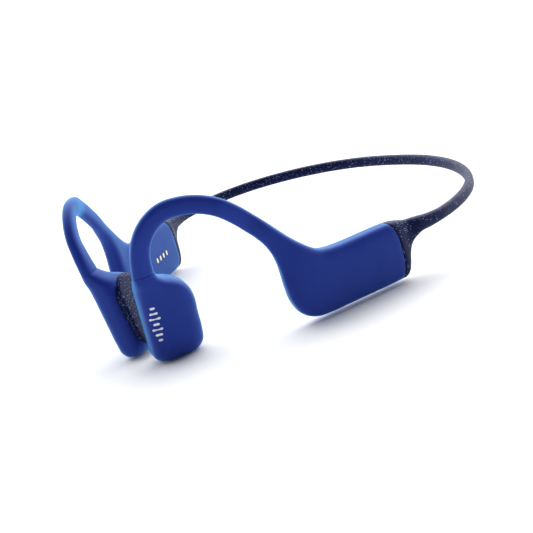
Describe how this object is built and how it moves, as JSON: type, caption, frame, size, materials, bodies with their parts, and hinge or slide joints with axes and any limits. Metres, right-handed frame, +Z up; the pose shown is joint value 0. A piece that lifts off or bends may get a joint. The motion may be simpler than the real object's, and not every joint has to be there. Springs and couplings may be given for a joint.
{
  "type": "bone conduction headphones",
  "caption": "Bone conduction headphones: sprung neckband with flared collars, flat side modules, ear hooks and transducer pods that rest on the cheekbones",
  "frame": {"origin": "on the surface the headphones stand on, under the middle of their box", "axes": "the wearer faces -Y, +X is the wearer's left, +Z is up; the neckband's rear is at +Y"},
  "size_m": [0.1236, 0.1449, 0.0511],
  "materials": {
    "blue_silicone": "matte silicone skin, royal blue",
    "speckled_silicone": "matte dark navy silicone with fine light specks",
    "titanium": "drawn wire",
    "wire_sleeve": "thin enamelled wires in a black sleeve",
    "housing_plastic": "moulded dark plastic",
    "circuit_board": "green solder mask",
    "chip_resin": "black moulding resin",
    "gold_plate": "gold plated",
    "switch_metal": "stamped steel",
    "magnet_plate": "nickel plated",
    "soft_iron": "turned soft iron",
    "copper_coil": "enamelled copper winding",
    "spring_steel": "etched spring sheet",
    "battery_wrap": "laminated aluminium pouch",
    "foam": "soft black foam",
    "light_pipe": "clear moulded plastic"
  },
  "bodies": {
    "neckband": {"neckband_jacket": "speckled_silicone", "neckband_core_wire": "titanium", "neckband_signal_wires": "wire_sleeve"},
    "left_arm": {"left_band_jacket": "speckled_silicone", "left_band_core_wire": "titanium", "left_band_signal_wires": "wire_sleeve", "left_arm_skin": "blue_silicone", "left_hook_core_wire": "titanium", "left_hook_signal_wires": "wire_sleeve", "left_module_outer_shell": "housing_plastic", "left_module_inner_shell": "housing_plastic", "left_pod_skin": "blue_silicone", "left_contact_pad": "speckled_silicone", "left_transducer_frame": "housing_plastic", "left_voice_coil": "copper_coil", "left_suspension_spring": "spring_steel", "left_terminal_board": "circuit_board", "battery_cell": "battery_wrap", "battery_foam": "foam", "protection_board": "circuit_board"},
    "left_transducer_mass": {"left_transducer_yoke": "soft_iron", "left_transducer_magnet": "magnet_plate", "left_transducer_pole": "soft_iron"},
    "right_arm": {"right_band_jacket": "speckled_silicone", "right_band_core_wire": "titanium", "right_band_signal_wires": "wire_sleeve", "right_arm_skin": "blue_silicone", "right_hook_core_wire": "titanium", "right_hook_signal_wires": "wire_sleeve", "right_module_outer_shell": "housing_plastic", "right_module_inner_shell": "housing_plastic", "right_pod_skin": "blue_silicone", "right_contact_pad": "speckled_silicone", "right_transducer_frame": "housing_plastic", "right_voice_coil": "copper_coil", "right_suspension_spring": "spring_steel", "right_terminal_board": "circuit_board", "main_board": "circuit_board", "processor_chip": "chip_resin", "memory_chip": "chip_resin", "charging_contacts": "gold_plate", "contact_carrier": "housing_plastic", "tactile_switches": "switch_metal", "switch_board": "circuit_board", "status_light_pipe": "light_pipe"},
    "right_transducer_mass": {"right_transducer_yoke": "soft_iron", "right_transducer_magnet": "magnet_plate", "right_transducer_pole": "soft_iron"},
    "button_play_body": {"button_play": "blue_silicone"},
    "button_mode_body": {"button_mode": "blue_silicone"},
    "button_volume_down_body": {"button_volume_down": "blue_silicone"},
    "button_volume_up_body": {"button_volume_up": "blue_silicone"}
  },
  "joints": [
    {"name": "left_arm_flex", "type": "hinge", "parent": "neckband", "child": "left_arm", "pos_m": [0.03315, 0.0629, 0.01523], "axis": [0, 0, 1], "range_deg": [0, 20], "stiffness_Nm_per_rad": 0.3},
    {"name": "right_arm_flex", "type": "hinge", "parent": "neckband", "child": "right_arm", "pos_m": [-0.03315, 0.0629, 0.01523], "axis": [0, 0, -1], "range_deg": [0, 20], "stiffness_Nm_per_rad": 0.3},
    {"name": "left_transducer_travel", "type": "slide", "parent": "left_arm", "child": "left_transducer_mass", "axis": [0.9035, -0.4023, -0.1478], "range_m": [-0.0002, 0.0002], "stiffness_N_per_m": 1500},
    {"name": "right_transducer_travel", "type": "slide", "parent": "right_arm", "child": "right_transducer_mass", "axis": [-0.9035, -0.4023, -0.1478], "range_m": [-0.0002, 0.0002], "stiffness_N_per_m": 1500},
    {"name": "button_play_press", "type": "slide", "parent": "right_arm", "child": "button_play_body", "axis": [0, 0, 1], "range_m": [0, 0.00035], "stiffness_N_per_m": 4000},
    {"name": "button_mode_press", "type": "slide", "parent": "right_arm", "child": "button_mode_body", "axis": [0, 0, 1], "range_m": [0, 0.00035], "stiffness_N_per_m": 4000},
    {"name": "button_volume_down_press", "type": "slide", "parent": "right_arm", "child": "button_volume_down_body", "axis": [0, 0, 1], "range_m": [0, 0.00035], "stiffness_N_per_m": 4000},
    {"name": "button_volume_up_press", "type": "slide", "parent": "right_arm", "child": "button_volume_up_body", "axis": [0, 0, 1], "range_m": [0, 0.00035], "stiffness_N_per_m": 4000}
  ]
}
